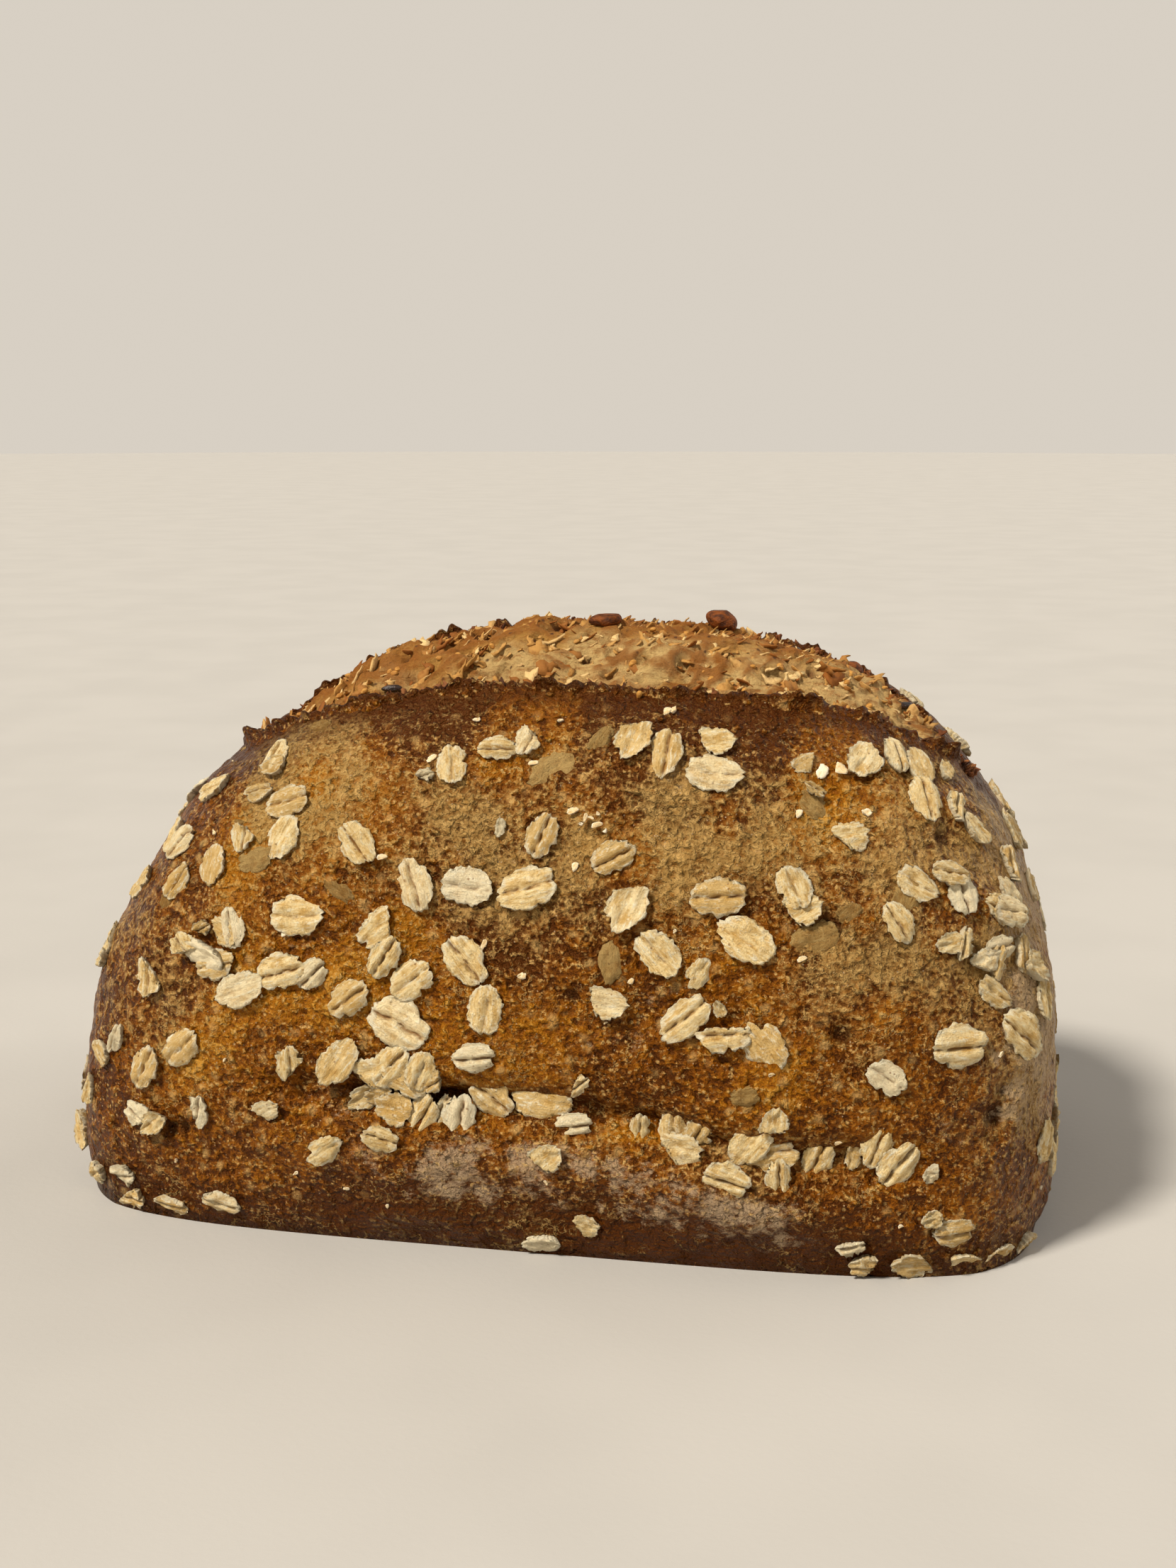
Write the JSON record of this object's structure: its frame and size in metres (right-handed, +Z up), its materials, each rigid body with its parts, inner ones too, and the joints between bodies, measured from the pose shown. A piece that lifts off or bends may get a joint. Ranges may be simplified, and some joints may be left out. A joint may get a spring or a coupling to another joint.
{
  "type": "tin loaf",
  "caption": "Domed tin loaf with a lengthwise torn opening along its crest and oat flakes baked onto the crust.",
  "frame": {"origin": "centre of the box's base, on the surface the loaf stands on", "axes": "+X along the loaf to the right as shown, -Y out of the flaked front, +Z up"},
  "size_m": [0.1963, 0.1139, 0.1131],
  "materials": {
    "CrustBrown": "satin baked crust"
  },
  "bodies": {
    "root": {"loaf": "CrustBrown"}
  },
  "joints": []
}
